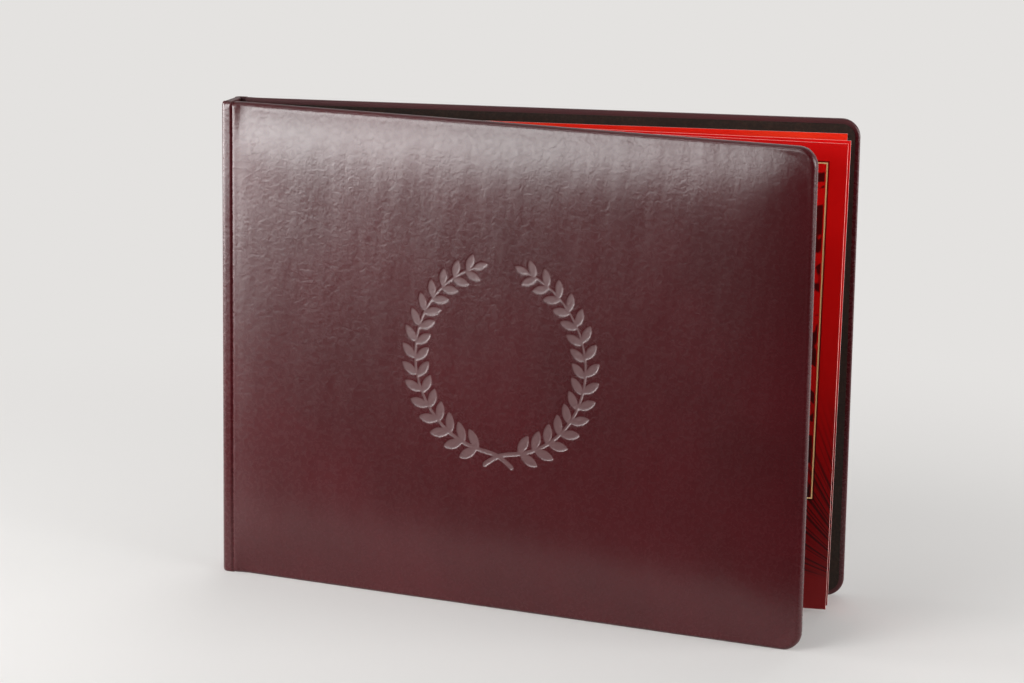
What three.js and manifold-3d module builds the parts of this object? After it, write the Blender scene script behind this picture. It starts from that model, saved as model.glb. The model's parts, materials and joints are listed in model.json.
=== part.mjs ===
// A padded leather document cover with stiff leaves, standing slightly open on its lower edges.
// Millimetres, +Z up. X runs from the spine to the fore-edge, halfway between the two covers.
// The front cover is on the -Y side. The origin is under the middle of the part, on the table.

import * as THREE from 'three';
import { mergeVertices } from 'three/addons/utils/BufferGeometryUtils.js';
import Module from 'manifold-3d';

const wasm = await Module();
wasm.setup();

// The closed outline of a cover, and how far the two covers stand open
const coverHeight = 236;
const coverLength = 305.4;
const spineWidth = 21;
const openingDegrees = 15.9;
const foreCornerRadius = 9;
const hingeCornerRadius = 1;

// Layers of a cover, from the outside in
const leatherThickness = 0.8;
const paddingThickness = 1.6;
const boardThickness = 2;
const turnInThickness = 0.7;
const liningThickness = 0.4;
const layerGap = 0.25;

// The leather turned over the edges of the board, and the border it leaves beside the lining
const turnInWidth = 14;
const liningInset = 2.4;

// The padding swells the outer face, so the leather drops away towards the edges
const crownWidth = 28;
const crownDrop = 0.9;
const edgeRound = 1.7;
const innerEdgeRound = 0.7;
const paddingInset = 3;

// The groove beside the spine, where the leather bends
const grooveFromCorner = 5.9;
const grooveHalfGap = 0.15;
const grooveSlopeDegrees = 43;
const hingeEdgeShare = 0.15;

// The spine
const spineCornerRound = 2.2;
const spineBoardThickness = 1.6;
const spineTurnInHeight = 14;

// The bound leaves, from the one next to the back cover forwards
const leafThickness = 0.7;
const leafHeight = 227;
const leafFoot = 2.2;
const leafForeInset = 4.6;
const leafPitch = 1.2;
const leafClearance = 0.5;
const leafFanDegrees = [0, 4.26, 5.75];
const gutterStart = 9;
const gutterWidth = 7;
const gutterLap = 1;

// The wreath pressed into the front cover: two crossed branches, open at the top
const wreathFromSpine = 150.4;
const wreathFromFoot = 121;
const wreathRadius = 42;
const wreathSpread = 6;
const stalkReach = 9.4;
const stalkDegrees = 10;
const stalkCurveDegrees = 35;
const stalkWidth = 1.9;
const stemTipWidth = 0.7;
const stemTipDegrees = 164;
const stemTipLapDegrees = 1.5;
const stemSteps = 30;
const sprigPairs = 15;
const sprigStartDegrees = 17.5;
const sprigEndDegrees = 158;
const firstSprigLength = 10.3;
const lastSprigLength = 8.4;
const tipSprigLength = 7.5;
const sprigSlimness = 0.42;
const sprigLift = 0.2;
const outerTurnDegrees = 42;
const innerTurnDegrees = 48;
const pressDepth = 0.45;

const degree = Math.PI / 180;
const halfOpening = openingDegrees / 2 * degree;

// Depths below the outer face of a cover, where one layer ends and the next begins
const paddingTop = leatherThickness + layerGap;
const boardTop = paddingTop + paddingThickness + layerGap;
const boardBottom = boardTop + boardThickness;
const turnInTop = boardBottom + layerGap;
const turnInBottom = turnInTop + turnInThickness;
const liningTop = turnInBottom + layerGap;
const liningBottom = liningTop + liningThickness;

const leather = new THREE.MeshStandardMaterial({ color: 0x5e2c33, roughness: 0.42, metalness: 0 });
const foam = new THREE.MeshStandardMaterial({ color: 0xd9d2c0, roughness: 0.95, metalness: 0 });
const greyBoard = new THREE.MeshStandardMaterial({ color: 0x9a948a, roughness: 0.9, metalness: 0 });
const liningPaper = new THREE.MeshStandardMaterial({ color: 0x2d2018, roughness: 0.8, metalness: 0 });
const leafCard = new THREE.MeshStandardMaterial({ color: 0xc00a08, roughness: 0.45, metalness: 0 });

// A closed body for joining and cutting, from the positions of a geometry alone
function toSolid(geometry) {
  const bare = geometry.clone();
  bare.deleteAttribute('normal');
  bare.deleteAttribute('uv');
  const merged = mergeVertices(bare, 1e-5);
  const vertProperties = new Float32Array(merged.attributes.position.array);
  const triVerts = new Uint32Array(merged.index.array);
  return new wasm.Manifold(new wasm.Mesh({ numProp: 3, vertProperties, triVerts }));
}

function toGeometry(solid) {
  const mesh = solid.getMesh();
  const geometry = new THREE.BufferGeometry();
  geometry.setAttribute('position', new THREE.BufferAttribute(new Float32Array(mesh.vertProperties), 3));
  geometry.setIndex(new THREE.BufferAttribute(new Uint32Array(mesh.triVerts), 1));
  geometry.computeVertexNormals();
  return geometry;
}

// In a cover's own frame X runs from the spine's corner to the fore-edge, Y runs up the cover,
// and Z points out of its outer face, so a depth below that face is a negative Z.
const panelStart = grooveFromCorner + grooveHalfGap;

// One outline of the cover at an inset from its edges, with an inset of its own at the hinge edge
function panelLoop(inset, depth, hingeInset = inset) {
  const left = panelStart + hingeInset;
  const right = coverLength - inset;
  const low = inset;
  const high = coverHeight - inset;
  const foreRadius = Math.max(foreCornerRadius - inset, 0.8);
  const hingeRadius = Math.max(hingeCornerRadius - hingeInset, 0.3);
  const corners = [
    { x: left + hingeRadius, y: low + hingeRadius, radius: hingeRadius, from: 180, steps: 2 },
    { x: right - foreRadius, y: low + foreRadius, radius: foreRadius, from: 270, steps: 8 },
    { x: right - foreRadius, y: high - foreRadius, radius: foreRadius, from: 0, steps: 8 },
    { x: left + hingeRadius, y: high - hingeRadius, radius: hingeRadius, from: 90, steps: 2 },
  ];
  const loop = [];
  for (const corner of corners) {
    for (let step = 0; step <= corner.steps; step += 1) {
      const angle = (corner.from + 90 * step / corner.steps) * degree;
      const x = corner.x + corner.radius * Math.cos(angle);
      const y = corner.y + corner.radius * Math.sin(angle);
      loop.push(new THREE.Vector3(x, y, -depth));
    }
  }
  return loop;
}

// A closed body from outlines stacked from the outer face inwards, with a flat face at each end
function panelBody(levels) {
  const loops = levels.map((level) => panelLoop(...level));
  const count = loops[0].length;
  const points = loops.flat();
  const index = [];
  for (let level = 0; level + 1 < loops.length; level += 1) {
    for (let i = 0; i < count; i += 1) {
      const next = (i + 1) % count;
      const upper = level * count;
      const lower = upper + count;
      index.push(upper + i, lower + i, lower + next);
      index.push(upper + i, lower + next, upper + next);
    }
  }
  const last = (loops.length - 1) * count;
  for (let i = 1; i + 1 < count; i += 1) {
    index.push(0, i, i + 1);
    index.push(last, last + i + 1, last + i);
  }
  const geometry = new THREE.BufferGeometry().setFromPoints(points);
  geometry.setIndex(index);
  geometry.computeVertexNormals();
  return geometry;
}

// How far the swollen face has dropped at an inset from the edge
function crownAt(inset) {
  const share = Math.max(1 - inset / crownWidth, 0);
  return crownDrop * share * share;
}

// Outlines of the swollen face from its flat middle out to an edge, at a depth below the leather's face.
// At the hinge edge the face rises over a share of that width, because a narrow groove holds it down.
function crownLevels(below, nearest, hingeNearest) {
  const levels = [];
  for (const share of [1, 0.7, 0.45, 0.25]) {
    const inset = nearest + (crownWidth - nearest) * share;
    const hingeInset = hingeNearest + (inset - nearest) * hingeEdgeShare;
    levels.push([inset, crownAt(inset) + below, hingeInset]);
  }
  return levels;
}

// A quarter round from the face at one depth over to the edge, as insets and depths
function roundLevels(radius, edgeInset, topDepth, steps, hingeShare = 1) {
  const levels = [];
  for (let step = 0; step <= steps; step += 1) {
    const angle = 90 * degree * step / steps;
    const inset = edgeInset + radius * (1 - Math.sin(angle));
    levels.push([inset, topDepth + radius * (1 - Math.cos(angle)), inset * hingeShare]);
  }
  return levels;
}

// The leather: a shallow tray over padding and board, with its edges turned over onto the inside
function coverLeather() {
  const outer = toSolid(panelBody([
    ...crownLevels(0, edgeRound, edgeRound * hingeEdgeShare),
    ...roundLevels(edgeRound, 0, crownAt(edgeRound), 4, hingeEdgeShare),
    [0, turnInBottom - innerEdgeRound],
    [innerEdgeRound * 0.3, turnInBottom - innerEdgeRound * 0.3],
    [innerEdgeRound, turnInBottom],
  ]));
  const wallRound = edgeRound - leatherThickness;
  const cavity = toSolid(panelBody([
    ...crownLevels(leatherThickness, edgeRound, edgeRound),
    ...roundLevels(wallRound, leatherThickness, crownAt(edgeRound) + leatherThickness, 2),
    [leatherThickness, turnInTop],
  ]));
  const window = toSolid(panelBody([
    [turnInWidth, boardTop],
    [turnInWidth, liningBottom],
  ]));
  return outer.subtract(cavity).subtract(window);
}

function coverPadding() {
  return panelBody([
    ...crownLevels(paddingTop, paddingInset, paddingInset),
    ...roundLevels(paddingThickness / 3, paddingInset, crownAt(paddingInset) + paddingTop, 2).slice(1),
    [paddingInset, paddingTop + paddingThickness],
  ]);
}

// The board is rebated where the leather is turned over it, so that the inside is flat
function coverBoard() {
  const edge = leatherThickness + layerGap;
  const field = turnInWidth + layerGap;
  return panelBody([
    [edge, boardTop],
    [edge, boardBottom],
    [field, boardBottom],
    [field, turnInBottom],
  ]);
}

function coverLining() {
  return panelBody([
    [liningInset, liningTop],
    [liningInset, liningBottom],
  ]);
}

// A branch's stem: an arc that widens a little towards its tip and swings out below the crossing.
// The angle is measured from straight down, and side is -1 for the left branch and 1 for the right.
function stemPoint(degrees, side) {
  const share = degrees / sprigEndDegrees;
  const swing = Math.max(1 - (degrees + stalkDegrees) / stalkCurveDegrees, 0);
  const radius = wreathRadius + wreathSpread * Math.max(share, 0) + stalkReach * swing ** 3;
  const x = wreathFromSpine + side * radius * Math.sin(degrees * degree);
  const y = wreathFromFoot - radius * Math.cos(degrees * degree);
  return new THREE.Vector2(x, y);
}

// A prism that reaches from above the face down to the bottom of the pressed wreath
function pressTool(shape, curveSegments) {
  const geometry = new THREE.ExtrudeGeometry(shape, {
    depth: pressDepth + leatherThickness,
    bevelEnabled: false,
    curveSegments,
  });
  geometry.translate(0, 0, -pressDepth);
  return toSolid(geometry);
}

// A leaf of the wreath: two bowed sides between a base on the stem and a pointed tip
function sprigTool(base, angle, length) {
  const width = length * sprigSlimness;
  const along = new THREE.Vector2(Math.cos(angle), Math.sin(angle));
  const across = new THREE.Vector2(-along.y, along.x);
  const tip = base.clone().addScaledVector(along, length);
  const belly = base.clone().addScaledVector(along, length / 2);
  const left = belly.clone().addScaledVector(across, width);
  const right = belly.clone().addScaledVector(across, -width);
  const shape = new THREE.Shape();
  shape.moveTo(base.x, base.y);
  shape.quadraticCurveTo(right.x, right.y, tip.x, tip.y);
  shape.quadraticCurveTo(left.x, left.y, base.x, base.y);
  return pressTool(shape, 4);
}

// The direction in which a branch grows at an angle from straight down
function stemHeading(degrees, side) {
  return stemPoint(degrees + 0.5, side).sub(stemPoint(degrees - 0.5, side)).normalize();
}

function stemTool(side) {
  const edges = [[], []];
  for (let step = 0; step <= stemSteps; step += 1) {
    const share = step / stemSteps;
    const degrees = -stalkDegrees + (stemTipDegrees + stalkDegrees) * share;
    const width = stemTipWidth + (stalkWidth - stemTipWidth) * (1 - share) ** 2;
    const across = stemHeading(degrees, side).rotateAround(new THREE.Vector2(), Math.PI / 2);
    const middle = stemPoint(degrees, side);
    edges[0].push(middle.clone().addScaledVector(across, width / 2));
    edges[1].unshift(middle.clone().addScaledVector(across, -width / 2));
  }
  return pressTool(new THREE.Shape([...edges[0], ...edges[1]]), 1);
}

function wreathTools() {
  const tools = [];
  for (const side of [-1, 1]) {
    tools.push(stemTool(side));
    for (let pair = 0; pair < sprigPairs; pair += 1) {
      const share = pair / (sprigPairs - 1);
      const degrees = sprigStartDegrees + (sprigEndDegrees - sprigStartDegrees) * share;
      const length = firstSprigLength + (lastSprigLength - firstSprigLength) * share;
      const heading = stemHeading(degrees, side);
      const lift = heading.clone().rotateAround(new THREE.Vector2(), side * Math.PI / 2).multiplyScalar(sprigLift);
      const outerBase = stemPoint(degrees, side).sub(lift);
      const innerBase = stemPoint(degrees, side).add(lift);
      tools.push(sprigTool(outerBase, heading.angle() - side * outerTurnDegrees * degree, length));
      tools.push(sprigTool(innerBase, heading.angle() + side * innerTurnDegrees * degree, length));
    }
    const tipDegrees = stemTipDegrees - stemTipLapDegrees;
    const tip = stemPoint(tipDegrees, side);
    tools.push(sprigTool(tip, stemHeading(tipDegrees, side).angle(), tipSprigLength));
  }
  return tools;
}

// A point seen from above, at a distance along a cover from the spine's corner and a depth below its
// outer face. Side is -1 for the front cover and 1 for the back.
function planPoint(side, along, depth) {
  const x = along * Math.cos(halfOpening) + depth * Math.sin(halfOpening);
  const reach = spineWidth / 2 + along * Math.sin(halfOpening) - depth * Math.cos(halfOpening);
  return new THREE.Vector2(x, side * reach);
}

function slab(low, high) {
  const size = high.clone().sub(low);
  const geometry = new THREE.BoxGeometry(size.x, size.y, size.z);
  const middle = low.clone().add(high).multiplyScalar(0.5);
  geometry.translate(middle.x, middle.y, middle.z);
  return geometry;
}

const spineHalf = spineWidth / 2 - spineCornerRound;
const spineBoardFront = leatherThickness + layerGap;
const spineBoardBack = spineBoardFront + spineBoardThickness;
const spineTurnInBack = spineBoardBack + layerGap + turnInThickness;

// The leather round the spine: a channel whose sides run to the two grooves, with a turned-in lip
// over each end of the spine's board
function spineLeather() {
  const flangeOuter = grooveFromCorner - grooveHalfGap - leatherThickness * Math.tan(grooveSlopeDegrees * degree);
  const flangeInner = grooveFromCorner - grooveHalfGap;
  const innerRound = spineCornerRound - leatherThickness;
  const innerCorner = leatherThickness * (1 - Math.sin(halfOpening)) / Math.cos(halfOpening);
  const innerY = planPoint(1, innerCorner, leatherThickness).y;
  const shape = new THREE.Shape();
  const outerEnd = planPoint(-1, flangeOuter, 0);
  shape.moveTo(outerEnd.x, outerEnd.y);
  const innerEnd = planPoint(-1, flangeInner, leatherThickness);
  shape.lineTo(innerEnd.x, innerEnd.y);
  const innerFront = planPoint(-1, innerCorner + innerRound, leatherThickness);
  shape.lineTo(innerFront.x, innerFront.y);
  shape.quadraticCurveTo(leatherThickness, -innerY, leatherThickness, -innerY + innerRound);
  shape.lineTo(leatherThickness, innerY - innerRound);
  const innerBack = planPoint(1, innerCorner + innerRound, leatherThickness);
  shape.quadraticCurveTo(leatherThickness, innerY, innerBack.x, innerBack.y);
  shape.lineTo(innerEnd.x, -innerEnd.y);
  shape.lineTo(outerEnd.x, -outerEnd.y);
  const outerBack = planPoint(1, spineCornerRound, 0);
  shape.lineTo(outerBack.x, outerBack.y);
  shape.quadraticCurveTo(0, spineWidth / 2, 0, spineHalf);
  shape.lineTo(0, -spineHalf);
  shape.quadraticCurveTo(0, -spineWidth / 2, outerBack.x, -outerBack.y);
  const channel = new THREE.ExtrudeGeometry(shape, {
    depth: coverHeight,
    bevelEnabled: false,
    curveSegments: 5,
  });
  let solid = toSolid(channel);
  for (const end of [0, 1]) {
    const capLow = end * (coverHeight - leatherThickness);
    const lipLow = end * (coverHeight - spineTurnInHeight);
    const cap = slab(
      new THREE.Vector3(leatherThickness / 2, -spineHalf, capLow),
      new THREE.Vector3(spineTurnInBack, spineHalf, capLow + leatherThickness),
    );
    const lip = slab(
      new THREE.Vector3(spineTurnInBack - turnInThickness, -spineHalf, lipLow),
      new THREE.Vector3(spineTurnInBack, spineHalf, lipLow + spineTurnInHeight),
    );
    solid = solid.add(toSolid(cap)).add(toSolid(lip));
  }
  return toGeometry(solid);
}

function spineBoard() {
  const edge = leatherThickness + layerGap;
  return slab(
    new THREE.Vector3(spineBoardFront, -spineHalf, edge),
    new THREE.Vector3(spineBoardBack, spineHalf, coverHeight - edge),
  );
}

function spineLining() {
  const front = spineTurnInBack + layerGap;
  return slab(
    new THREE.Vector3(front, -spineHalf, liningInset),
    new THREE.Vector3(front + liningThickness, spineHalf, coverHeight - liningInset),
  );
}

// The leaves, fanned out a little from the stub that binds them beside the back cover
function boundLeaves() {
  function uprightPlate(corners) {
    const outline = corners.map(([along, depth]) => planPoint(1, along, depth));
    const settings = { depth: leafHeight, bevelEnabled: false };
    const geometry = new THREE.ExtrudeGeometry(new THREE.Shape(outline), settings);
    geometry.translate(0, 0, leafFoot);
    return toSolid(geometry);
  }
  const leafStart = gutterStart + gutterLap;
  const leafLength = coverLength - leafForeInset - leafStart;
  const firstDepth = liningBottom + leafClearance + leafThickness / 2;
  const stubTop = liningBottom + layerGap;
  const stubBottom = firstDepth + leafPitch * (leafFanDegrees.length - 1) + leafThickness;
  let solid = uprightPlate([
    [gutterStart, stubTop],
    [gutterStart + gutterWidth, stubTop],
    [gutterStart + gutterWidth, stubBottom],
    [gutterStart, stubBottom],
  ]);
  leafFanDegrees.forEach((fan, leaf) => {
    const depth = firstDepth + leafPitch * leaf;
    const along = [Math.cos(fan * degree), Math.sin(fan * degree)];
    const half = [-along[1] * leafThickness / 2, along[0] * leafThickness / 2];
    const end = [leafStart + leafLength * along[0], depth + leafLength * along[1]];
    solid = solid.add(uprightPlate([
      [leafStart - half[0], depth - half[1]],
      [end[0] - half[0], end[1] - half[1]],
      [end[0] + half[0], end[1] + half[1]],
      [leafStart + half[0], depth + half[1]],
    ]));
  });
  return toGeometry(solid);
}

function named(name, geometry, material) {
  const mesh = new THREE.Mesh(geometry, material);
  mesh.name = name;
  return mesh;
}

// A cover's group, turned so that its length runs along the cover and its Z out of the outer face
function coverGroup(side) {
  const along = new THREE.Vector3(Math.cos(halfOpening), side * Math.sin(halfOpening), 0);
  const up = new THREE.Vector3(0, 0, -side);
  const out = new THREE.Vector3().crossVectors(along, up);
  const holder = new THREE.Group();
  holder.quaternion.setFromRotationMatrix(new THREE.Matrix4().makeBasis(along, up, out));
  holder.position.set(0, side * spineWidth / 2, side > 0 ? coverHeight : 0);
  return holder;
}

const frontCover = coverGroup(-1);
const wreath = wreathTools().reduce((whole, tool) => whole.add(tool));
const frontSkin = coverLeather().subtract(wreath);
frontCover.add(named('front_leather', toGeometry(frontSkin), leather));
frontCover.add(named('front_padding', coverPadding(), foam));
frontCover.add(named('front_board', coverBoard(), greyBoard));
frontCover.add(named('front_lining', coverLining(), liningPaper));

const backCover = coverGroup(1);
backCover.add(named('back_leather', toGeometry(coverLeather()), leather));
backCover.add(named('back_padding', coverPadding(), foam));
backCover.add(named('back_board', coverBoard(), greyBoard));
backCover.add(named('back_lining', coverLining(), liningPaper));

const standing = new THREE.Group();
standing.add(frontCover, backCover);
standing.add(named('spine_leather', spineLeather(), leather));
standing.add(named('spine_board', spineBoard(), greyBoard));
standing.add(named('spine_lining', spineLining(), liningPaper));
standing.add(named('leaves', boundLeaves(), leafCard));

// The origin goes under the middle of the whole part
standing.updateMatrixWorld(true);
const bounds = new THREE.Box3().setFromObject(standing, true);
const middle = bounds.getCenter(new THREE.Vector3());
standing.position.set(-middle.x, -middle.y, -bounds.min.z);

const group = new THREE.Group();
group.add(standing);

export default group;
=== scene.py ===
# Padded leather document cover with a pressed wreath, standing a little open with its red leaves inside.
# Lengths are millimetres, but metres for the meshes, the stage, the lamps and the heights of the bumps.

import bpy
import json
import math
import numpy as np
from mathutils import Matrix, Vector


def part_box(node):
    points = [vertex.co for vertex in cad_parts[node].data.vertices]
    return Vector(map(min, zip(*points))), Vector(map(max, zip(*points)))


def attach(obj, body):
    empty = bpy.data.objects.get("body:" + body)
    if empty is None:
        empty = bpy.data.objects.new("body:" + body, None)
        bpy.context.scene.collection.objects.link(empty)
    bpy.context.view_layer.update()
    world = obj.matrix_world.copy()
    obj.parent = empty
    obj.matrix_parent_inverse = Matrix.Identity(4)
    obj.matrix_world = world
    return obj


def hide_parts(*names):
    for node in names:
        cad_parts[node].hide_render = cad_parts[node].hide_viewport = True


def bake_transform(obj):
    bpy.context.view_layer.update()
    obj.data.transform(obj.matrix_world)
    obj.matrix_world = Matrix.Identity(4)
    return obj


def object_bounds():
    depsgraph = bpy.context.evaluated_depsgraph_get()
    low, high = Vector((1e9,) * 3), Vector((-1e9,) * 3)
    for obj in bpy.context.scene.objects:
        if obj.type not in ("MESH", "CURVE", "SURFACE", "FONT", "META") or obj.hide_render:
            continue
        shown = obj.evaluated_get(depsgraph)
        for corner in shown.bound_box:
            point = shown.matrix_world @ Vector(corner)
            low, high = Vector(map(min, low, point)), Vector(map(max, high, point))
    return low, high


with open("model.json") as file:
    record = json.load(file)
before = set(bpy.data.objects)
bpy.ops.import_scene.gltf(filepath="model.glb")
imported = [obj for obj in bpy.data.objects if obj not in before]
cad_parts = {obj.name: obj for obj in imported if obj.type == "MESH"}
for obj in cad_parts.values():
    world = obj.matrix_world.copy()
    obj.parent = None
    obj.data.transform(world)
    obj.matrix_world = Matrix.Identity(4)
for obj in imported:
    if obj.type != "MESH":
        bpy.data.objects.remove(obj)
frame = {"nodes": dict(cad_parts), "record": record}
cadLow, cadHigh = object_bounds()
mm = 0.001
degree = math.pi / 180
tiny = 1e-6  # below any real length, against rounding

# The cover as it was cut: the outer face of the CAD's spine and the slant of its covers place everything
backFace = next(m for m in frame["record"]["mounts"] if m["name"] == "back_face")
slant = math.atan2(-backFace["axis"][0], backFace["axis"][1])
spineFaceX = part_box("spine_leather")[0].x / mm
cover = {
    "length": 305.4,  # from the spine's corner to the fore-edge
    "frontShorter": 1.9,
    "height": (cadHigh.z - cadLow.z) / mm,
    "spine": 21.0,
    "spineRound": 2.6,  # how far the round of the spine's corner reaches along spine and cover
    "foreRound": 9.0,
    "edgeRound": 2.2,
    "innerRound": 1.0,
    "thick": 5.85,
    "spineThick": 3.6,
    "jointThick": 1.9,
    "groove": 5.9,  # from the spine's corner
    "ledge": 0.2,  # the inside changes its thickness this far off the groove and the spine's corner
    "hiddenEdge": 4.6,  # how far the leather is turned in under the lining
}
halfSpine = cover["spine"] / 2
turn = math.pi / 2 - slant
spineArc = cover["spineRound"] / math.tan(turn / 2)
spineFlat = halfSpine - cover["spineRound"]
arcLength = spineArc * turn


def alongSkin(u):
    # distance along the skin from the middle of the spine, for a distance u along the cover from its
    # corner
    return u - cover["spineRound"] + spineFlat + arcLength


def alongCover(s):
    # the way back: distance along the cover for a distance s along the skin
    return s - alongSkin(0.0)


def bend(s, z, depth, side):
    # flat skin to the shared frame: straight across the spine, an arc round its corner, straight along the
    # cover; depth is measured inwards from the outer face, side is -1 for the front and 1 for the back
    phi = np.clip((s - spineFlat) / spineArc, 0, turn)
    u = alongCover(s)
    onSpine = s < spineFlat
    onCover = s > spineFlat + arcLength
    roundX = spineArc - (spineArc - depth) * np.cos(phi)
    roundY = spineFlat + (spineArc - depth) * np.sin(phi)
    coverX = u * math.cos(slant) + depth * math.sin(slant)
    coverY = halfSpine + u * math.sin(slant) - depth * math.cos(slant)
    x = np.where(onSpine, depth, np.where(onCover, coverX, roundX))
    y = np.where(onSpine, s, np.where(onCover, coverY, roundY))
    return np.stack([(x + spineFaceX) * mm, side * y * mm, z * mm], axis=-1)


def smooth(t):
    # 0 to 1 with level ends: three times the square less twice the cube
    t = np.clip(t, 0, 1)
    return t * t * (3 - 2 * t)


# The wreath: two branches that cross at the foot and stay open at the top
wreath = {
    "fromSpine": 151.2,
    "fromFoot": 120.2,
    "radius": 41.6,
    "narrow": 0.967,
    "spread": 7.0,  # what the radius has gained at the last pair of leaves
    "stalkReach": 6.9,  # how far the stalks swing out below their crossing
    "stalkDegrees": 8.6,
    "stalkCurve": 22.6,
    "stalkWidth": 1.9,
    "tipWidth": 0.7,
    "tipDegrees": 164.0,  # angles run from straight down
    "tipLap": 1.5,
    "stemPoints": 90,
    "pairs": 15,
    "firstPair": 16.0,
    "lastPair": 158.0,
    "crowding": 0.096,  # brings the pairs closer towards the tip
    "firstLength": 10.3,
    "lastLength": 8.4,
    "tipLength": 7.5,
    "slimness": 0.42,
    "lift": 0.2,  # how far off the stem's middle a leaf starts
    "outerTurn": 42.0,
    "innerTurn": 48.0,
    "innerLag": 1.2,  # how far the inner leaf of a pair starts before the outer one
    "depth": 0.14,
    "wall": 1.0,  # width of the slope round the pressed outline
    "reach": 4.0,  # distances beyond this aren't worked out
}


def stemPoint(phi, side):
    # polar curve: the radius grows evenly with the angle from straight down, and swings out with the cube
    # of the nearness to the stalk's end below the crossing
    swing = np.maximum(1 - (phi + wreath["stalkDegrees"]) / wreath["stalkCurve"], 0)
    radius = wreath["radius"] + wreath["spread"] * np.maximum(phi / wreath["lastPair"], 0)
    radius = radius + wreath["stalkReach"] * swing**3
    u = wreath["fromSpine"] + side * wreath["narrow"] * radius * np.sin(phi * degree)
    z = wreath["fromFoot"] - radius * np.cos(phi * degree)
    return np.stack([u, z], axis=-1)


def stemHeading(phi, side):
    # direction of the chord across one degree
    chord = stemPoint(phi + 0.5, side) - stemPoint(phi - 0.5, side)
    return math.atan2(chord[1], chord[0])


def lensDistance(u, z, base, angle, length):
    # signed distance to a lens, the overlap of two equal circles, lying from its base along an angle
    halfLong, halfWide = length / 2, length * wreath["slimness"] / 2
    radius = (halfLong**2 + halfWide**2) / (2 * halfWide)
    offset = radius - halfWide
    du, dz = u - base[0], z - base[1]
    p = np.abs(du * math.cos(angle) + dz * math.sin(angle) - halfLong)
    q = np.abs(-du * math.sin(angle) + dz * math.cos(angle))
    atTip = (p - halfLong) * offset > q * halfLong
    return np.where(atTip, np.hypot(q, p - halfLong), np.hypot(q + offset, p) - radius)


def stemDistance(u, z, side):
    # signed distance to the tapering stem, taken as the nearest of many short straight runs
    phi = np.linspace(-wreath["stalkDegrees"], wreath["tipDegrees"], wreath["stemPoints"])
    points = stemPoint(phi, side)
    nearest = np.full(u.shape, wreath["reach"])
    for k in range(len(phi) - 1):
        a, b = points[k], points[k + 1]
        run = b - a
        t = np.clip(((u - a[0]) * run[0] + (z - a[1]) * run[1]) / (run @ run), 0, 1)
        share = (k + t) / (len(phi) - 1)
        width = wreath["tipWidth"] + (wreath["stalkWidth"] - wreath["tipWidth"]) * (1 - share) ** 2
        gap = np.hypot(u - a[0] - t * run[0], z - a[1] - t * run[1]) - width / 2
        nearest = np.minimum(nearest, gap)
    return nearest


def wreathDistance(u, z):
    # signed distance to the whole wreath, the least of those to its stems and leaves: negative inside
    out = np.full(u.shape, wreath["reach"])
    reachRadius = wreath["radius"] + wreath["spread"] + wreath["firstLength"] + wreath["reach"]
    near = np.hypot(u - wreath["fromSpine"], z - wreath["fromFoot"]) < reachRadius
    nearU, nearZ = u[near], z[near]
    best = np.full(nearU.shape, wreath["reach"])
    for side in (-1, 1):
        best = np.minimum(best, stemDistance(nearU, nearZ, side))
        for pair in range(wreath["pairs"]):
            share = pair / (wreath["pairs"] - 1)
            along = share + wreath["crowding"] * share * (1 - share)
            phi = wreath["firstPair"] + (wreath["lastPair"] - wreath["firstPair"]) * along
            length = wreath["firstLength"] + (wreath["lastLength"] - wreath["firstLength"]) * share
            heading = stemHeading(phi, side)
            lift = wreath["lift"] * np.array([-math.sin(heading), math.cos(heading)]) * side
            outer = stemPoint(phi, side) - lift
            inner = stemPoint(phi - wreath["innerLag"], side) + lift
            outerAngle = heading - side * wreath["outerTurn"] * degree
            innerAngle = heading + side * wreath["innerTurn"] * degree
            best = np.minimum(best, lensDistance(nearU, nearZ, outer, outerAngle, length))
            best = np.minimum(best, lensDistance(nearU, nearZ, inner, innerAngle, length))
        tipPhi = wreath["tipDegrees"] - wreath["tipLap"]
        tip, tipAngle = stemPoint(tipPhi, side), stemHeading(tipPhi, side)
        best = np.minimum(best, lensDistance(nearU, nearZ, tip, tipAngle, wreath["tipLength"]))
    out[near] = best
    return out


# How the padded face swells and where the groove holds it down
swell = {
    "crownWidth": 46.0,  # the face falls off within this of head, foot and fore-edge
    "crownDrop": 3.2,
    "crownPower": 2.8,
    "crownAtHinge": 0.35,  # share of that fall beside the groove
    "lift": 1.3,
    "dome": 1.7,
    "grooveDepth": 0.6,
    "grooveToCover": 1.8,
    "grooveToSpine": 1.2,
    "fadeIn": 8.0,
}


def faceDepth(s, z, length):
    # depth of the outer face: falls towards head, foot and fore-edge as a power of the nearness to each,
    # less a low dome over the middle, and two squared falls into the groove
    u = alongCover(s)
    fromGroove = u - cover["groove"]
    width, height = swell["crownWidth"], cover["height"]
    power = swell["crownPower"]
    head = np.clip(1 - (height - z) / width, 0, 1) ** power
    foot = np.clip(1 - z / width, 0, 1) ** power
    fore = np.clip(1 - (length - u) / width, 0, 1) ** power
    hinge = swell["crownAtHinge"] * np.clip(1 - fromGroove / width, 0, 1) ** power
    fall = swell["crownDrop"] * np.sqrt(head**2 + foot**2 + fore**2 + hinge**2)
    crown = (fall - swell["lift"]) * smooth(fromGroove / swell["fadeIn"])
    across = np.clip(fromGroove / (length - cover["groove"]), 0, 1)
    bulge = swell["dome"] * 4 * np.clip(z / height, 0, 1) * np.clip(1 - z / height, 0, 1)
    bulge = bulge * (1 - (2 * across - 1) ** 2)
    toCover = np.clip(1 - fromGroove / swell["grooveToCover"], 0, 1) ** 2
    toSpine = np.clip(1 + fromGroove / swell["grooveToSpine"], 0, 1) ** 2
    groove = swell["grooveDepth"] * np.where(fromGroove > 0, toCover, toSpine)
    return np.minimum(crown, cover["thick"] - 2 * cover["edgeRound"]) - bulge + groove


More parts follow.
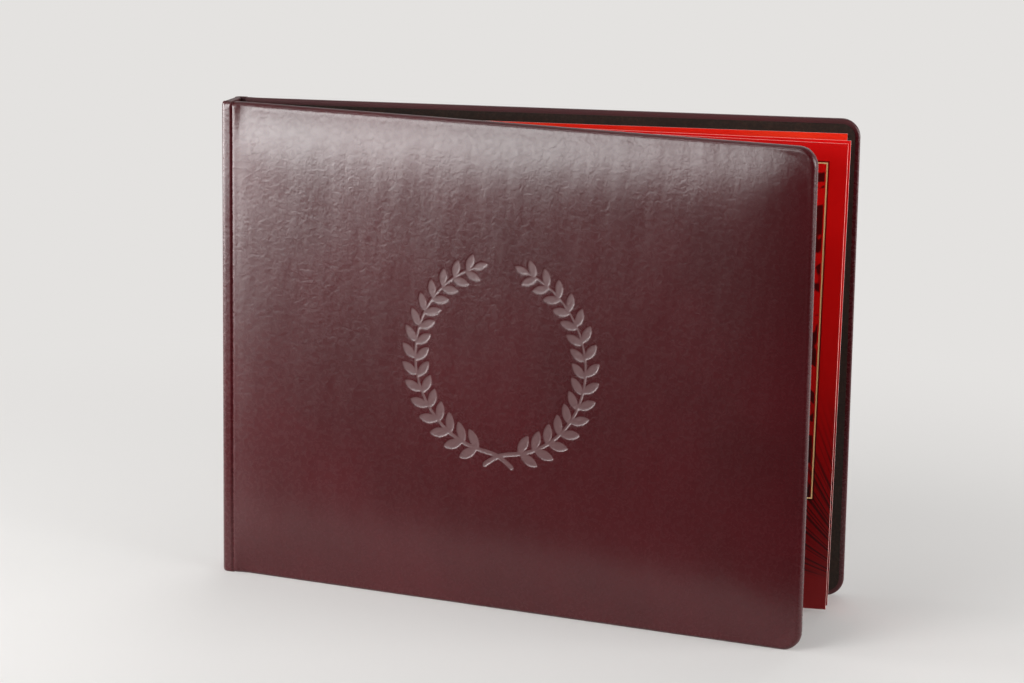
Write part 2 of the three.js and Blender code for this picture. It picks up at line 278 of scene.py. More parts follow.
def innerDepth(s):
    # how deep the wrapped board reaches: the spine's stiffener, the bare leather joint, the cover's board
    u = alongCover(s)
    joint = np.where(u > cover["groove"] + cover["ledge"], cover["thick"], cover["jointThick"])
    return np.where(s < spineFlat - cover["ledge"], cover["spineThick"], joint)


def runs(start, stops):
    # positions from the start to each stop in turn, each run cut into equal steps no longer than its own
    parts = [np.array([start])]
    low = start
    for high, step in stops:
        count = max(1, math.ceil((high - low) / step - tiny))
        parts.append(np.linspace(low, high, count + 1)[1:])
        low = high
    return np.concatenate(parts)


def gridQuads(ids):
    # the four corners of every cell in a grid of point numbers
    cells = [ids[:-1, :-1], ids[1:, :-1], ids[1:, 1:], ids[:-1, 1:]]
    return np.stack(cells, axis=-1).reshape(-1, 4)


def addMesh(name, points, faces, uv=None, attributes=None, sharpDegrees=40):
    # points and faces as an object at the origin, with its flat map in metres and its values at the points
    mesh = bpy.data.meshes.new(name)
    mesh.from_pydata(points.tolist(), [], faces)
    mesh.update()
    if uv is not None:
        layer = mesh.uv_layers.new(name="flat")
        loopVerts = np.empty(len(mesh.loops), np.int32)
        mesh.loops.foreach_get("vertex_index", loopVerts)
        layer.data.foreach_set("uv", (uv[loopVerts] * mm).astype(np.float32).ravel())
    for key, values in (attributes or {}).items():
        layer = mesh.attributes.new(key, "FLOAT", "POINT")
        layer.data.foreach_set("value", values.astype(np.float32))
    mesh.polygons.foreach_set("use_smooth", np.ones(len(mesh.polygons), bool))
    mesh.set_sharp_from_angle(angle=sharpDegrees * degree)
    piece = bpy.data.objects.new(name, mesh)
    bpy.context.scene.collection.objects.link(piece)
    return piece


skin = {
    "edgeSteps": 6,
    "innerSteps": 4,
    "roomShare": 0.45,  # each round takes at most this share of the edge's thickness
    "dullFrom": 2,  # the ring after which the leather over head and foot starts to dull
    "dullSteps": 3,
    "pleats": 9,
    "pleatDepth": 0.14,
    "pleatInset": 2.2,
}


def squeezeCorners(s, z, cornerS, lowZ, highZ, radius):
    # a square corner onto a quarter disc: each share of its two sides times the root of one less half the
    # square of the other
    p = np.clip((s - cornerS) / radius, 0, 1)
    up = np.clip((z - (highZ - radius)) / radius, 0, 1)
    down = np.clip(((lowZ + radius) - z) / radius, 0, 1)
    q = up + down
    squeezedP = p * np.sqrt(1 - q * q / 2)
    squeezedQ = q * np.sqrt(1 - p * p / 2)
    s = np.where(s > cornerS, cornerS + squeezedP * radius, s)
    z = np.where(up > 0, highZ - radius + squeezedQ * radius, z)
    z = np.where(down > 0, lowZ + radius - squeezedQ * radius, z)
    return s, z


def outward(s, z, cornerS, lowZ, highZ, radius):
    # unit direction out of the outline: away from the middle of each corner's disc, else straight out
    outS = np.maximum((s - cornerS) / radius, 0.0)
    outZ = np.where(z > highZ - radius, (z - highZ + radius) / radius, 0.0)
    outZ = np.where(z < lowZ + radius, (z - lowZ - radius) / radius, outZ)
    outS = np.where((outZ == 0) & (s > cornerS), 1.0, outS)
    outZ = np.where(outS == 0, np.sign(z - cover["height"] / 2), outZ)
    return outS, outZ


def edgeLevels(rimS, rimDepth, outS, outZ):
    # inset and depth of each ring over the edge: a quarter ellipse out, a straight edge, a quarter ellipse
    # in, a ring that pleats rise from at the corners, and the end of the turned-in leather
    inner = innerDepth(rimS)
    room = (inner - rimDepth) * skin["roomShare"]
    outerFall = np.minimum(cover["edgeRound"], room)
    innerRise = np.minimum(cover["innerRound"], room)
    levels = []
    for step in range(1, skin["edgeSteps"] + 1):
        a = math.pi / 2 * step / skin["edgeSteps"]
        levels.append((cover["edgeRound"] * (1 - math.sin(a)), rimDepth + outerFall * (1 - math.cos(a))))
    for step in range(skin["innerSteps"] + 1):
        a = math.pi / 2 * step / skin["innerSteps"]
        levels.append((cover["innerRound"] * (1 - math.cos(a)), inner - innerRise * (1 - math.sin(a))))
    cornerAngle = np.arctan2(np.abs(outZ), np.abs(outS))
    pleat = np.sin(cornerAngle * 4 * skin["pleats"]) * np.sin(cornerAngle * 2)
    levels.append((skin["pleatInset"], inner - skin["pleatDepth"] * np.maximum(pleat, 0)))
    levels.append((cover["hiddenEdge"], inner))
    return levels


def skinPiece(name, side, columns, rows, length, pressed):
    # The leather round half the spine and one cover, as one closed body.
    # The outer face is a grid over a rectangle whose two fore corners are squeezed onto quarter discs.
    # Rings then carry its outline over the edges, long strips from foot to head close the inside, and a
    # flat end closes the spine's middle.
    # Two values stay at the points: the distance to the wreath (press), and how far the leather has turned
    # over head or foot (turned).
    inset, radius = cover["edgeRound"], cover["foreRound"] - cover["edgeRound"]
    cornerS = alongSkin(length) - inset - radius
    corners = (cornerS, inset, cover["height"] - inset, radius)
    s, z = np.meshgrid(columns, rows, indexing="ij")
    s, z = squeezeCorners(s, z, *corners)
    depth = faceDepth(s, z, length)
    press = np.full(s.shape, wreath["reach"])
    if pressed:
        press = wreathDistance(alongCover(s), z)
        depth = depth + wreath["depth"] * smooth(0.5 - press / wreath["wall"])
    gridId = np.arange(s.size).reshape(s.shape)

    # the outline, anticlockwise seen from outside: foot, fore-edge, head
    rim = np.concatenate([gridId[:, 0], gridId[-1, 1:], gridId[:-1, -1][::-1]])
    rimS, rimZ, rimDepth = s.ravel()[rim], z.ravel()[rim], depth.ravel()[rim]
    outS, outZ = outward(rimS, rimZ, *corners)
    levels = edgeLevels(rimS, rimDepth, outS, outZ)
    points = [bend(s, z, depth, side).reshape(-1, 3)]
    flat = [np.stack([s, z], axis=-1).reshape(-1, 2)]
    turned = [np.zeros(s.size)]
    travelled = np.zeros(len(rim))
    lastInset, lastDepth = inset, rimDepth
    for number, (ringInset, ringDepth) in enumerate(levels, 1):
        travelled = travelled + np.hypot(ringInset - lastInset, ringDepth - lastDepth)
        lastInset, lastDepth = ringInset, ringDepth
        out = inset - ringInset
        points.append(bend(rimS + out * outS, rimZ + out * outZ, ringDepth, side))
        flat.append(np.stack([rimS + travelled * outS, rimZ + travelled * outZ], axis=-1))
        turned.append(np.abs(outZ) * np.clip((number - skin["dullFrom"]) / skin["dullSteps"], 0, 1))
    points = np.concatenate(points)

    ringIds = np.arange(s.size, len(points)).reshape(len(levels), len(rim))
    ringIds = np.concatenate([rim[None], ringIds])
    last = ringIds[-1]
    cornerColumn = int(np.searchsorted(columns, cornerS - tiny))
    footAndHead = np.stack([last[: len(columns)], last[-len(columns) :][::-1]])
    quads = [gridQuads(gridId), gridQuads(ringIds), gridQuads(footAndHead[:, : cornerColumn + 1])]
    faces = np.concatenate(quads).tolist()
    faces.append(last[cornerColumn : len(last) - cornerColumn][::-1].tolist())
    faces.append(np.concatenate([gridId[0], ringIds[1:, -1], ringIds[:0:-1, 0]]).tolist())
    if side > 0:
        faces = [face[::-1] for face in faces]
    pressValues = np.full(len(points), wreath["reach"])
    pressValues[: s.size] = press.ravel()
    values = {"press": pressValues, "turned": np.concatenate(turned)}
    return addMesh(name, points, faces, np.concatenate(flat), values)


# Materials; the helpers take a material or the world
def newMaterial(name):
    # only a shader and its output
    material = bpy.data.materials.new(name)
    material.use_nodes = True
    nodes = material.node_tree.nodes
    nodes.clear()
    output = nodes.new("ShaderNodeOutputMaterial")
    shader = nodes.new("ShaderNodeBsdfPrincipled")
    material.node_tree.links.new(shader.outputs["BSDF"], output.inputs["Surface"])
    return material, shader


def addNode(owner, kind, inputs=None, **settings):
    # an input is a socket to link from, or a plain value
    node = owner.node_tree.nodes.new(kind)
    for key, value in settings.items():
        setattr(node, key, value)
    for key, value in (inputs or {}).items():
        if isinstance(value, bpy.types.NodeSocket):
            link(owner, value, node.inputs[key])
        else:
            node.inputs[key].default_value = value
    return node


def link(owner, source, target):
    owner.node_tree.links.new(source, target)


def linear(red, green, blue):
    # a colour given as 0 to 255 display values, as the renderer wants it
    values = []
    for v in (red, green, blue):
        c = v / 255
        values.append(c / 12.92 if c <= 0.04045 else ((c + 0.055) / 1.055) ** 2.4)
    return (*values, 1.0)


def flatPlace(material):
    return addNode(material, "ShaderNodeUVMap", uv_map="flat").outputs["UV"]


def objectPlace(material):
    return addNode(material, "ShaderNodeTexCoord").outputs["Object"]


def pointValue(material, name):
    return addNode(material, "ShaderNodeAttribute", attribute_name=name).outputs["Fac"]


def noise(material, vector, scale, detail=3.0, roughness=0.5, distortion=0.0):
    # scale is in waves to the metre
    inputs = {"Vector": vector, "Scale": scale, "Detail": detail, "Roughness": roughness}
    inputs["Distortion"] = distortion
    return addNode(material, "ShaderNodeTexNoise", inputs).outputs["Fac"]


def mixColour(material, factor, a, b):
    # the Mix node's colour sockets are its inputs 6 and 7 and its output 2
    return addNode(material, "ShaderNodeMix", {0: factor, 6: a, 7: b}, data_type="RGBA").outputs[2]


def mixValue(material, factor, a, b):
    # its plain value sockets are its inputs 2 and 3 and its output 0
    return addNode(material, "ShaderNodeMix", {0: factor, 2: a, 3: b}, data_type="FLOAT").outputs[0]


def fit(owner, value, span, to=(0.0, 1.0), kind="SMOOTHSTEP"):
    # carries the span of a value onto another, and holds it there at both ends
    inputs = {"Value": value, "From Min": span[0], "From Max": span[1], "To Min": to[0], "To Max": to[1]}
    return addNode(owner, "ShaderNodeMapRange", inputs, interpolation_type=kind).outputs["Result"]


def calc(material, operation, a, b=0.0):
    return addNode(material, "ShaderNodeMath", {0: a, 1: b}, operation=operation).outputs[0]


def bump(material, height, strength, distance, under=None):
    # relief on top of the relief under it; distance is its height in metres
    inputs = {"Height": height, "Strength": strength, "Distance": distance}
    if under is not None:
        inputs["Normal"] = under
    return addNode(material, "ShaderNodeBump", inputs).outputs["Normal"]


leatherLook = {
    "colour": linear(68, 12, 18),
    "shade": linear(61, 10, 15),
    # paler where pressed: partly the pressed leather's own tone, partly painted reflection
    "pressed": linear(92, 62, 63),
    "roughness": (0.25, 0.29),
    "pressedRoughness": 0.36,
    "turnedRoughness": 0.6,
    "pressEdge": (0.35, -0.15),  # distance to the outline over which the pressed finish comes in
    "cloudScale": 14.0,
    "creaseScale": 70.0,
    "creaseTurn": 0.35,
    "creaseStretch": 0.3,
    "grainScale": 420.0,
    "poreScale": 1100.0,
    "middle": (0.3, 0.7),  # the part of a noise that is used
    "outlineBump": (1.0, 0.00008),
    "creaseBump": (0.30, 0.0012),
    "grainBump": (0.40, 0.00022),
    "poreBump": (0.30, 0.00006),
}


def leatherMaterial():
    # two burgundies in slow clouds, paler and duller where the wreath is pressed in, the paler tone partly
    # the pressed leather's own and partly painted reflection; dull over head and foot; four bumps lie over
    # each other: the pressed outline, creases that run up the face, grain, pores
    look = leatherLook
    material, shader = newMaterial("burgundyLeather")
    flat = flatPlace(material)
    inside = fit(material, pointValue(material, "press"), look["pressEdge"])
    cloud = noise(material, flat, look["cloudScale"], 2.0)
    grain = noise(material, flat, look["grainScale"], 2.0, 0.6, 0.8)
    pores = noise(material, flat, look["poreScale"], 2.0)
    inputs = {"Vector": flat, "Rotation": (0.0, 0.0, look["creaseTurn"])}
    inputs["Scale"] = (1.0, look["creaseStretch"], 1.0)
    stretched = addNode(material, "ShaderNodeMapping", inputs).outputs["Vector"]
    creases = noise(material, stretched, look["creaseScale"], 2.0)
    tone = mixColour(material, fit(material, cloud, look["middle"]), look["shade"], look["colour"])
    # the pressed wreath turns paler: partly its own tone, partly a painted reflection
    tone = mixColour(material, inside, tone, look["pressed"])
    link(material, tone, shader.inputs["Base Color"])
    rough = fit(material, grain, look["middle"], look["roughness"])
    rough = mixValue(material, inside, rough, look["pressedRoughness"])
    rough = mixValue(material, pointValue(material, "turned"), rough, look["turnedRoughness"])
    link(material, rough, shader.inputs["Roughness"])
    surface = bump(material, calc(material, "SUBTRACT", 1.0, inside), *look["outlineBump"])
    surface = bump(material, creases, *look["creaseBump"], surface)
    surface = bump(material, grain, *look["grainBump"], surface)
    surface = bump(material, pores, *look["poreBump"], surface)
    link(material, surface, shader.inputs["Normal"])
    return material


liningLook = {
    "colour": linear(34, 25, 20),
    "light": linear(52, 40, 31),
    "dark": linear(26, 19, 16),
    "darkShare": 0.35,
    "roughness": (0.6, 0.75),
    "specular": 0.25,
    "speckScale": 700.0,
    "speckEdge": (0.35, 0.75),
    "cloudScale": 35.0,
    "cloudEdge": (0.35, 0.7),
    "roughEdge": (0.2, 0.8),
    "bump": (0.25, 0.0002),
}


def liningMaterial():
    # dark paper with fine light specks under slow darker clouds
    look = liningLook
    material, shader = newMaterial("darkLining")
    place = objectPlace(material)
    speck = noise(material, place, look["speckScale"], 4.0, 0.65)
    cloud = noise(material, place, look["cloudScale"])
    tone = mixColour(material, fit(material, speck, look["speckEdge"]), look["colour"], look["light"])
    darker = fit(material, cloud, look["cloudEdge"], (0.0, look["darkShare"]))
    tone = mixColour(material, darker, tone, look["dark"])
    link(material, tone, shader.inputs["Base Color"])
    rough = fit(material, cloud, look["roughEdge"], look["roughness"])
    link(material, rough, shader.inputs["Roughness"])
    shader.inputs["Specular IOR Level"].default_value = look["specular"]
    link(material, bump(material, speck, *look["bump"]), shader.inputs["Normal"])
    return material


# The red leaves
leaf = {
    "thick": 0.75,
    "height": 227.0,
    "foot": 2.2,
    "foreInset": 4.6,
    "start": 10.0,  # from the spine's corner
    "firstDepth": 7.35,
    "pitch": 1.2,
    "columns": 60,
    "rows": 40,
    "trim": 3.2,  # how much shorter the foot is than the head
    "sharpDegrees": 30,
}
leafLength = cover["length"] - leaf["foreInset"] - leaf["start"]
leafList = [
    {"name": "leafBack", "fan": 0.0, "bow": 0.0, "lean": 0.0, "order": 0, "reach": -1.4},
    {"name": "leafMiddle", "fan": 4.26, "bow": 0.8, "lean": 0.0, "order": 1, "reach": 2.0},
    {"name": "leafFront", "fan": 5.75, "bow": 1.2, "lean": 3.0, "order": 2, "reach": 2.0},
]


def leafPiece(spec, faceMaterial, rimMaterial):
    # A stiff sheet: a straight run out from the gutter at its fan angle, with a slight bow across its
    # length and a lean of its head; the sheet has two faces a thickness apart, joined round the rim
    a = np.linspace(0, 1, leaf["columns"] + 1)
    b = np.linspace(0, 1, leaf["rows"] + 1)
    a, b = np.meshgrid(a, b, indexing="ij")
    length = leafLength + spec["reach"] - leaf["trim"] * (1 - b)
    across, out = math.cos(spec["fan"] * degree), math.sin(spec["fan"] * degree)
    rise = spec["bow"] * np.sin(math.pi * a) + spec["lean"] * (b - 0.5) * a**2
    along = leaf["start"] + length * a * across - rise * out
    depth = leaf["firstDepth"] + leaf["pitch"] * spec["order"] + length * a * out + rise * across
    z = leaf["foot"] + leaf["height"] * b
    half = leaf["thick"] / 2
    layers = []
    for offset in (half, -half):
        u = along - offset * out
        layers.append(bend(alongSkin(u), z, depth + offset * across, 1).reshape(-1, 3))
    front = np.arange(a.size).reshape(a.shape)
    frontQuads = gridQuads(front)
    backQuads = frontQuads[:, [0, 3, 2, 1]] + a.size
    rimFront = np.concatenate([front[:, 0], front[-1, 1:], front[:-1, -1][::-1], front[0, 1:-1][::-1]])
    nextFront = np.roll(rimFront, -1)
    rimQuads = np.stack([rimFront, rimFront + a.size, nextFront + a.size, nextFront], axis=-1)
    faces = np.concatenate([frontQuads, backQuads, rimQuads]).tolist()
    flat = np.stack([leafLength * a, leaf["height"] * b], axis=-1).reshape(-1, 2)
    flat = np.concatenate([flat, flat])
    piece = addMesh(spec["name"], np.concatenate(layers), faces, flat, None, leaf["sharpDegrees"])
    slots = np.zeros(len(faces), np.int32)
    slots[-len(rimQuads) :] = 1
    piece.data.materials.append(faceMaterial)
    piece.data.materials.append(rimMaterial)
    piece.data.polygons.foreach_set("material_index", slots)
    return piece


printLook = {
    "red": linear(235, 8, 8),
    "orange": linear(240, 52, 24),
    # the darker red of the painted shade lower down the leaf
    "paintedShadeRed": linear(120, 2, 5),
    "ink": linear(34, 4, 6),
    "gold": linear(246, 200, 140),
    "foreMargin": 9.3,
    "headMargin": 9.6,
    "footMargin": 55.0,
    "lineWidth": 0.62,
    "lineEdge": (0.62, 0.4),  # shares of the line's width over which the line comes in
    "shadowEdge": (0.8, 0.4),
    "shadowOut": 1.1,
    "shadowInk": 0.75,
    "figureScale": 62.0,
    "figureSwirl": 1.6,
    "figureEdge": (0.50, 0.56),
    "figureInk": 0.9,
    "fanX": 25.0,
    "fanZ": 10.0,
    "fanRays": 34.0,
    "rayEdge": (0.46, 0.58),
    "rayFade": (0.50, 0.22),  # shares of the leaf's height
    "rayInk": 0.85,
    "rayFoot": (14.0, 20.0),
    # painted shade: shares of the leaf's height between which the red darkens
    "paintedShadeSpan": (0.78, 0.14),
}


def times(pair, factor):
    return tuple(value * factor for value in pair)


def leafPrintMaterial():
    # a red ground, darkened downwards by painted shade; one thin gold frame with soft dark figures inside
    # it;
    # below, dark rays that fan out from a point beyond the lower fore corner
    look = printLook
    material, shader = newMaterial("redPrintedCard")
    flat = flatPlace(material)
    axes = addNode(material, "ShaderNodeSeparateXYZ", {0: flat})
    across, upward = axes.outputs[0], axes.outputs[1]
    length, tall, width = leafLength * mm, leaf["height"] * mm, look["lineWidth"] * mm
    toHead = calc(material, "SUBTRACT", tall - look["headMargin"] * mm, upward)
    toFoot = calc(material, "SUBTRACT", upward, look["footMargin"] * mm)
    toGutter = calc(material, "SUBTRACT", across, look["foreMargin"] * mm)
    depthIn = calc(material, "SUBTRACT", length - look["foreMargin"] * mm, across)
    for other in (toHead, toFoot, toGutter):
        depthIn = calc(material, "MINIMUM", depthIn, other)
    fromLine = calc(material, "ABSOLUTE", depthIn)
    onLine = fit(material, fromLine, times(look["lineEdge"], width))
    fromShadow = calc(material, "ABSOLUTE", calc(material, "ADD", depthIn, look["shadowOut"] * width))
    onShadow = fit(material, fromShadow, times(look["shadowEdge"], width), (0.0, look["shadowInk"]))
    framed = fit(material, depthIn, (width, 2 * width))
    figure = noise(material, flat, look["figureScale"], 1.0, 0.4, look["figureSwirl"])
    figures = fit(material, figure, look["figureEdge"], (0.0, look["figureInk"]))
    figures = calc(material, "MULTIPLY", figures, framed)
    rightward = calc(material, "SUBTRACT", length + look["fanX"] * mm, across)
    raised = calc(material, "SUBTRACT", upward, look["fanZ"] * mm)
    angle = calc(material, "ARCTAN2", raised, rightward)
    line = addNode(material, "ShaderNodeCombineXYZ", {0: angle}).outputs[0]
    rays = fit(material, noise(material, line, look["fanRays"], 1.0), look["rayEdge"])
    fade = fit(material, upward, times(look["rayFade"], tall), (0.0, look["rayInk"]))
    aboveFoot = fit(material, upward, times(look["rayFoot"], mm))
    rays = calc(material, "MULTIPLY", calc(material, "MULTIPLY", rays, fade), aboveFoot)
    # painted shade: the red runs into a darker red towards the foot of the leaf
    low = fit(material, upward, times(look["paintedShadeSpan"], tall))
    tone = mixColour(material, low, look["red"], look["paintedShadeRed"])
    for share, ink in ((rays, "ink"), (figures, "ink"), (onShadow, "ink"), (onLine, "gold")):
        tone = mixColour(material, share, tone, look[ink])
    link(material, tone, shader.inputs["Base Color"])
    finishCard(material, shader, flat)
    return material


cardLook = {
    "roughness": (0.34, 0.42),
    "specular": 0.3,
    "fleckScale": 900.0,
    "fleckEdge": (0.3, 0.7),
    "tooth": (0.05, 0.0001),
    "patchScale": 24.0,
    "patchEdge": (0.4, 0.65),
    "patchShare": 0.6,
    "cutDark": linear(238, 160, 154),
    "cutLight": linear(250, 210, 204),
    "cutRoughness": 0.8,
    "fibreScale": 1500.0,
    "fibreEdge": (0.35, 0.7),
}


def finishCard(material, shader, flat):
    # satin card with a faint tooth
    fleck = noise(material, flat, cardLook["fleckScale"], 2.0)
    rough = fit(material, fleck, cardLook["fleckEdge"], cardLook["roughness"])
    link(material, rough, shader.inputs["Roughness"])
    link(material, bump(material, fleck, *cardLook["tooth"]), shader.inputs["Normal"])
    shader.inputs["Specular IOR Level"].default_value = cardLook["specular"]


def leafPlainMaterial():
    # orange card with red clouds
    material, shader = newMaterial("orangeRedCard")
    flat = flatPlace(material)
    patch = noise(material, flat, cardLook["patchScale"], 2.0)
    share = fit(material, patch, cardLook["patchEdge"], (0.0, cardLook["patchShare"]))
    tone = mixColour(material, share, printLook["orange"], printLook["red"])
    link(material, tone, shader.inputs["Base Color"])
    finishCard(material, shader, flat)
    return material


def leafEdgeMaterial():
    # fibres of the cut edge, between two pinks
    material, shader = newMaterial("cutCardEdge")
    fibre = noise(material, objectPlace(material), cardLook["fibreScale"])
    share = fit(material, fibre, cardLook["fibreEdge"], kind="LINEAR")
    tone = mixColour(material, share, cardLook["cutDark"], cardLook["cutLight"])
    link(material, tone, shader.inputs["Base Color"])
    shader.inputs["Roughness"].default_value = cardLook["cutRoughness"]
    return material


# Build: the steps of the skins' grids close up at the spine's corner, the groove, the wreath and the edges
grid = {
    "fine": 0.53,  # over the wreath; much finer passes 200,000 triangles
    "wreathMargin": 9.0,
    "coarse": 4.0,
    "band": 30.0,  # closer steps run this far along each edge
    "bandStep": 2.5,
    "frontForeStep": 2.2,
    "backStartStep": 3.0,
    "corner": 0.9,
    "spine": 2.0,
    "spineEnd": (0.4, 0.2),  # length and step of the last run before the round
    "spineRound": 0.5,
    # stop from the groove, and step up to it
    "groove": [(-1.6, 1.5), (-0.6, 0.25), (0.1, 0.12), (0.3, 0.1), (1.0, 0.2), (4.6, 0.5)],
}
wreathReach = wreath["radius"] + wreath["spread"] + grid["wreathMargin"]
edge, height, coarse, band = cover["edgeRound"], cover["height"], grid["coarse"], grid["band"]
cornerRun = cover["foreRound"] - edge
frontLength = cover["length"] - cover["frontShorter"]
frontEnd = frontLength - edge
backEnd = cover["length"] - edge
spineRuns = [
    (spineFlat - grid["spineEnd"][0], grid["spine"]),
    (spineFlat, grid["spineEnd"][1]),
    (spineFlat + arcLength, grid["spineRound"]),
]
grooveRuns = [(cover["groove"] + offset, step) for offset, step in grid["groove"]]
frontRuns = [
    (wreath["fromSpine"] - wreathReach, coarse),
    (wreath["fromSpine"] + wreathReach, grid["fine"]),
    (frontEnd - band, coarse),
    (frontEnd - cornerRun, grid["frontForeStep"]),
    (frontEnd, grid["corner"]),
]
backRuns = [
    (band, grid["backStartStep"]),
    (backEnd - band, coarse),
    (backEnd - cornerRun, grid["bandStep"]),
    (backEnd, grid["corner"]),
]
footRuns = [(edge + cornerRun, grid["corner"]), (band, grid["bandStep"])]
wreathRuns = [(wreath["fromFoot"] - wreathReach, coarse), (wreath["fromFoot"] + wreathReach, grid["fine"])]
headRuns = [
    (height - band, coarse),
    (height - edge - cornerRun, grid["bandStep"]),
    (height - edge, grid["corner"]),
]
frontColumns = runs(0.0, spineRuns + [(alongSkin(u), step) for u, step in grooveRuns + frontRuns])
backColumns = runs(0.0, spineRuns + [(alongSkin(u), step) for u, step in grooveRuns + backRuns])
frontRows = runs(edge, footRuns + wreathRuns + headRuns)
backRows = runs(edge, footRuns + headRuns)

leather = leatherMaterial()
lining = liningMaterial()
leafPrint = leafPrintMaterial()
leafPlain = leafPlainMaterial()
leafEdge = leafEdgeMaterial()
print("materials:", len(bpy.data.materials))

frontSkin = skinPiece("frontSkin", -1, frontColumns, frontRows, frontLength, True)
backSkin = skinPiece("backSkin", 1, backColumns, backRows, cover["length"], False)
for piece in (frontSkin, backSkin):
    piece.data.materials.append(leather)
for piece, outerBody, side in ((frontSkin, "front_cover", -1), (backSkin, "back_cover", 1)):
    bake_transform(piece)
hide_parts("front_leather", "front_padding", "front_board")
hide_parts("back_leather", "back_padding", "back_board", "spine_leather", "spine_board")
print("skins:", [len(p.data.polygons) for p in (frontSkin, backSkin)])

leafPieces = [leafPiece(spec, leafPrint if spec["order"] else leafPlain, leafEdge) for spec in leafList]
for piece in leafPieces:
    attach(piece, "back_cover")
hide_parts("leaves")
print("leaves:", len(leafPieces))

for name in ("front_lining", "back_lining", "spine_lining"):
    node = frame["nodes"][name]
    node.data.materials.clear()
    node.data.materials.append(lining)

# Table and backdrop: one pale sheet that rises behind the object, and an apron of the same paper that
# carries the table on to the front, where the covers neither mirror it nor take its light
stage = {
    "apronFront": -2.6,
    "front": -0.125,
    "back": 1.9,
    "radius": 0.9,
    "turnSteps": 24,
    "top": 2.6,
    "halfWidth": 3.2,
    "colour": linear(226, 224, 222),
    "roughness": 0.85,
    "backTone": linear(228, 226, 224),
    "share": (0.18, 1.0),  # of the even tone, near the object and away from it
    "shareSpan": (0.16, 0.62),
}


def paperPiece(name, y, z):
    # a profile in y and z, carried straight across
    points = []
    for x in (-stage["halfWidth"], stage["halfWidth"]):
        points.append(np.stack([np.full(len(y), x), y, z], axis=-1))
    faces = gridQuads(np.arange(2 * len(y)).reshape(2, -1)).tolist()
    return addMesh(name, np.concatenate(points), faces)


def paperMaterial():
    # plain diffuse paper; where it is seen, straight or mirrored, an even pale tone joins in and takes
    # over with the distance from the object, so that the background stays pale without more light
    material, shader = newMaterial("palePaper")
    output = next(node for node in material.node_tree.nodes if node.type == "OUTPUT_MATERIAL")
    shader.inputs["Base Color"].default_value = stage["colour"]
    shader.inputs["Roughness"].default_value = stage["roughness"]
    even = {"Color": stage["backTone"], "Strength": 1.0}
    glow = addNode(material, "ShaderNodeEmission", even).outputs[0]
    away = addNode(material, "ShaderNodeVectorMath", {0: objectPlace(material)}, operation="LENGTH")
    share = fit(material, away.outputs["Value"], stage["shareSpan"], stage["share"])
    ray = addNode(material, "ShaderNodeLightPath").outputs
    seen = calc(material, "MAXIMUM", ray["Is Camera Ray"], ray["Is Glossy Ray"])
    seen = calc(material, "MAXIMUM", seen, ray["Is Transmission Ray"])
    shown = calc(material, "MULTIPLY", share, seen)
    mix = addNode(material, "ShaderNodeMixShader", {0: shown, 1: shader.outputs["BSDF"], 2: glow})
    link(material, mix.outputs[0], output.inputs["Surface"])
    return material


# the sweep is a flat run, a quarter turn and an upright run
turnAngles = np.linspace(0, math.pi / 2, stage["turnSteps"] + 1)
wallY = stage["back"] + stage["radius"]
sweepY = np.concatenate([[stage["front"]], stage["back"] + stage["radius"] * np.sin(turnAngles), [wallY]])
sweepZ = np.concatenate([[0.0], stage["radius"] * (1 - np.cos(turnAngles)), [stage["top"]]])
sweep = paperPiece("paleSweep", sweepY, sweepZ)
apron = paperPiece("paleApron", np.array([stage["apronFront"], stage["front"]]), np.zeros(2))
apron.visible_glossy = False
apron.visible_diffuse = False
paper = paperMaterial()
for piece in (sweep, apron):
    piece.data.materials.append(paper)
print("stage:", stage["colour"][:3])

# Light: each lamp stands so far away from the object's middle, so many degrees left of the front and up,
# faces it and is rolled about that line; its size is across and up, and its glow is its face's radiance
studio = {"middle": (0.0, 0.0, 0.118), "world": 0.1}
lamps = [
    {"name": "frontLow", "left": 38, "up": 9, "away": 1.1, "roll": 35, "size": (0.60, 0.28), "glow": 8.2},
    {"name": "frontHigh", "left": 26, "up": 14, "away": 1.5, "roll": 0, "size": (0.56, 0.42), "glow": 5.6},
    {"name": "frontFoot", "left": 52, "up": 3, "away": 1.1, "roll": 35, "size": (0.60, 0.20), "glow": 12.5},
    {"name": "leftSide", "left": 82, "up": 4, "away": 0.95, "roll": 0, "size": (0.40, 0.30), "glow": 16.0},
    {"name": "crest", "left": 30, "up": 44, "away": 1.3, "roll": 0, "size": (0.80, 0.14), "glow": 9.0},
    {"name": "rightSide", "left": -82, "up": 12, "away": 1.5, "roll": 0, "size": (1.3, 0.7), "glow": 8.2},
    {"name": "rear", "left": 180, "up": 35, "away": 1.6, "roll": 0, "size": (1.2, 1.0), "glow": 1.8},
    {"name": "overhead", "left": 120, "up": 80, "away": 1.4, "roll": 0, "size": (1.0, 0.9), "glow": 1.2},
]
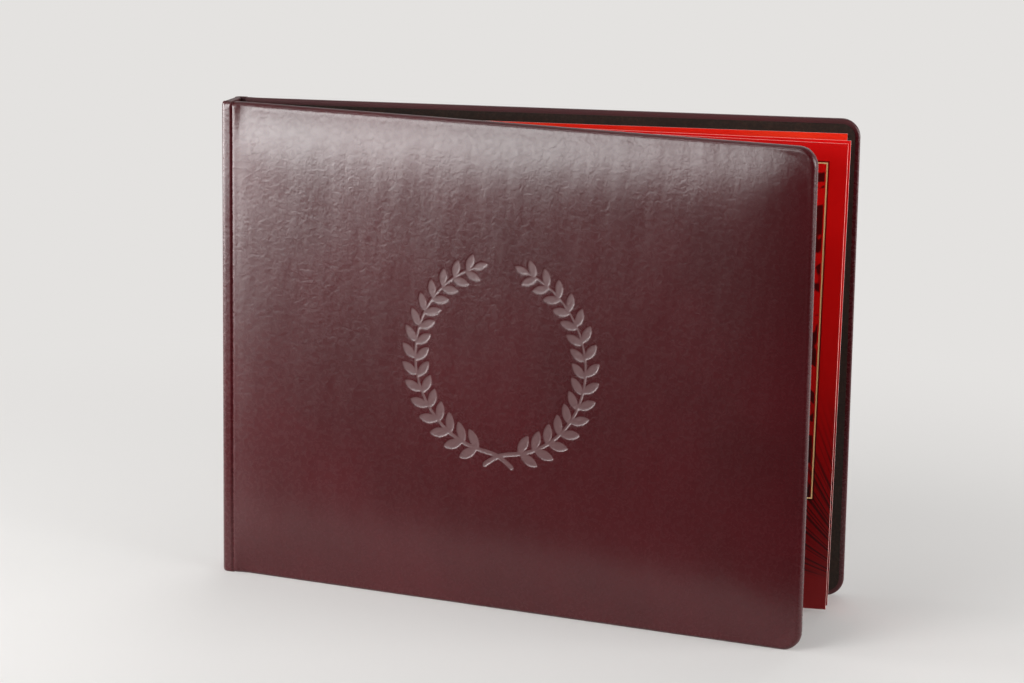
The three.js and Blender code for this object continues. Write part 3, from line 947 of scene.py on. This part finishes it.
for lamp in lamps:
    data = bpy.data.lights.new(lamp["name"], "AREA")
    data.shape = "RECTANGLE"
    data.size, data.size_y = lamp["size"]
    data.energy = lamp["glow"] * math.pi * data.size * data.size_y
    light = bpy.data.objects.new(lamp["name"], data)
    light.visible_camera = False
    bpy.context.scene.collection.objects.link(light)
    light.matrix_world = (
        Matrix.Translation(studio["middle"])
        @ Matrix.Rotation(-lamp["left"] * degree, 4, "Z")
        @ Matrix.Rotation((90 - lamp["up"]) * degree, 4, "X")
        @ Matrix.Translation((0, 0, lamp["away"]))
        @ Matrix.Rotation(lamp["roll"] * degree, 4, "Z")
    )

# the world is pale to the camera and dim to everything else
world = bpy.data.worlds.new("studio")
bpy.context.scene.world = world
world.use_nodes = True
background = world.node_tree.nodes["Background"]
background.inputs["Color"].default_value = stage["backTone"]
toCamera = addNode(world, "ShaderNodeLightPath").outputs["Is Camera Ray"]
level = fit(world, toCamera, (0.0, 1.0), (studio["world"], 1.0), "LINEAR")
link(world, level, background.inputs["Strength"])
print("lamps:", len(lamps))

# Camera, solved from the four corners of the front cover
view = {
    "fromSpineCorner": (571.35, -1473.06, 454.6),
    "heading": 16.01,
    "pitch": 12.03,
    "roll": 0.89,
    "lens": 115.0,
    "sensor": 36.0,
    "near": 0.05,
    "far": 50.0,
}
camera = bpy.data.objects.new("camera", bpy.data.cameras.new("camera"))
bpy.context.scene.collection.objects.link(camera)
camera.data.lens = view["lens"]
camera.data.sensor_width = view["sensor"]
camera.data.clip_start = view["near"]
camera.data.clip_end = view["far"]
corner = np.array([spineFaceX, -halfSpine, 0.0])
camera.matrix_world = (
    Matrix.Translation((corner + np.array(view["fromSpineCorner"])) * mm)
    @ Matrix.Rotation(view["heading"] * degree, 4, "Z")
    @ Matrix.Rotation(math.pi / 2 - view["pitch"] * degree, 4, "X")
    @ Matrix.Rotation(view["roll"] * degree, 4, "Z")
)
bpy.context.scene.camera = camera
bpy.context.scene.view_settings.view_transform = "Standard"
